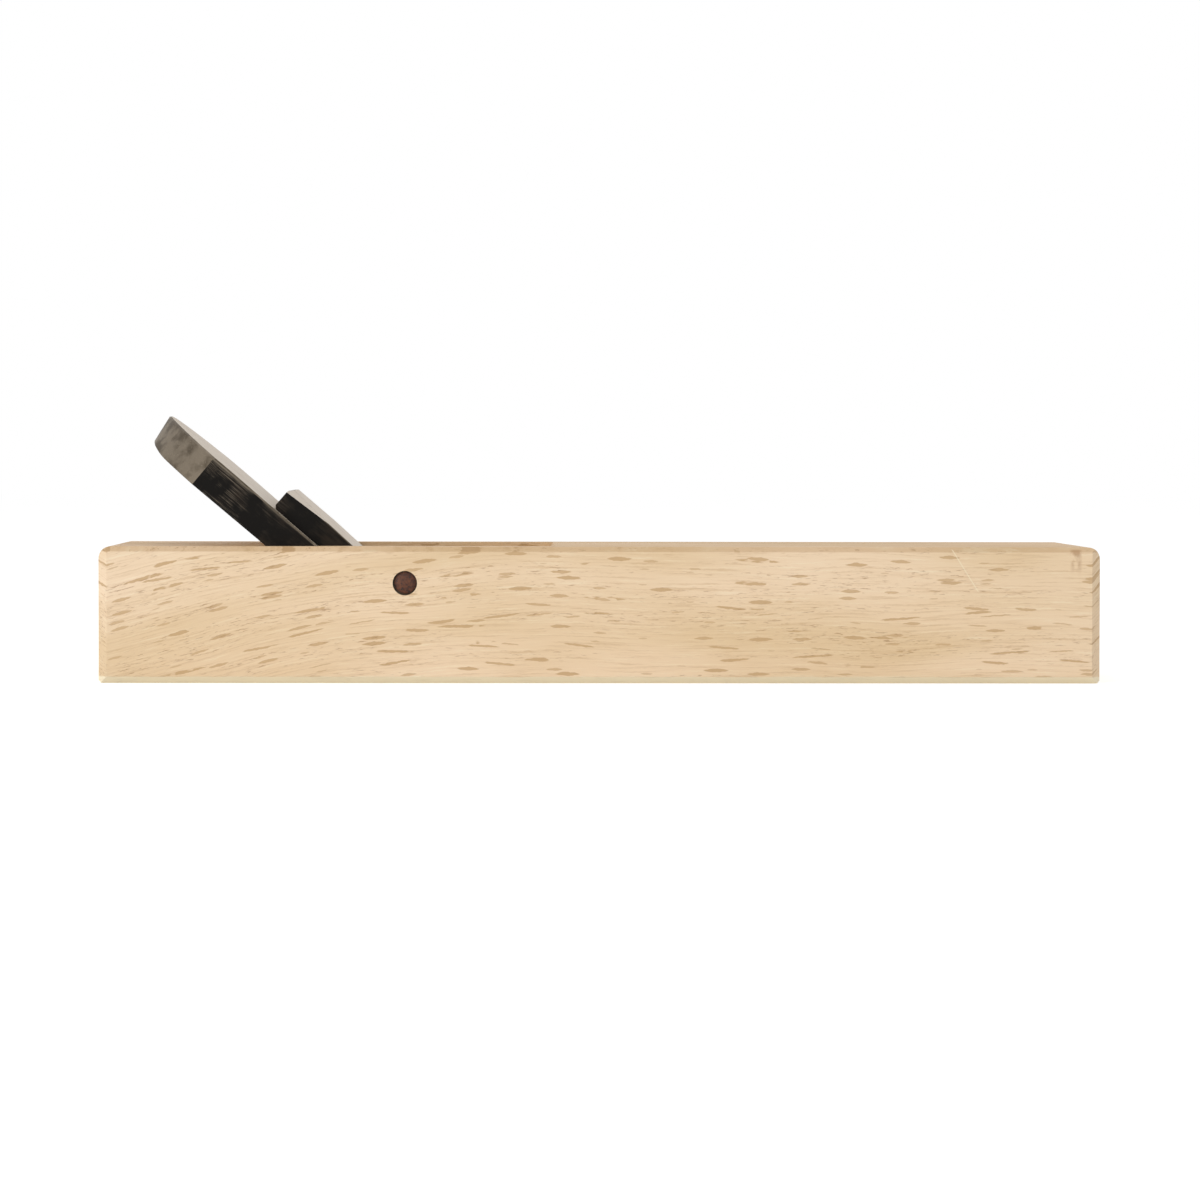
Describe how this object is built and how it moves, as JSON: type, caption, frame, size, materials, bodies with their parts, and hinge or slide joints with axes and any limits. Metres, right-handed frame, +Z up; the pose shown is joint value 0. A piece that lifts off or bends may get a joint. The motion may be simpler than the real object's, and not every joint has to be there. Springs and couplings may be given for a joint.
{
  "type": "smoothing plane",
  "caption": "Japanese smoothing plane: an oak block with a sloped throat, a tapered laminated blade wedged in grooves, a chipbreaker on it and a steel pin across the throat.",
  "frame": {"origin": "centre of the sole, under the middle of the block", "axes": "+X towards the front end, the way the plane is pulled; +Y across the block; +Z up, away from the sole"},
  "size_m": [0.279, 0.086, 0.0744],
  "materials": {
    "oak": "planed bare white oak, with ray flecks on the sides",
    "blade_iron": "forge-black sides, worn warm grey upper face and head",
    "blade_steel": "ground, with lengthwise scratches",
    "chipbreaker_iron": "forge-black sides, worn warm grey upper face",
    "chipbreaker_steel": "ground, with lengthwise scratches",
    "pin_steel": "rust brown, lightly pitted"
  },
  "bodies": {
    "body": {"body_block": "oak"},
    "blade": {"blade_iron": "blade_iron", "blade_steel": "blade_steel"},
    "chipbreaker": {"chipbreaker_iron": "chipbreaker_iron", "chipbreaker_steel": "chipbreaker_steel"},
    "pin": {"retaining_pin": "pin_steel"}
  },
  "joints": [
    {"name": "blade_slide", "type": "slide", "parent": "body", "child": "blade", "axis": [-0.766, 0, 0.6428], "range_m": [-0.00117, 0.075]},
    {"name": "chipbreaker_slide", "type": "slide", "parent": "blade", "child": "chipbreaker", "axis": [-0.7559, 0, 0.6547], "range_m": [-0.0003, 0.07]},
    {"name": "pin_slide", "type": "slide", "parent": "body", "child": "pin", "axis": [0, 1, 0], "range_m": [0, 0.09]}
  ]
}
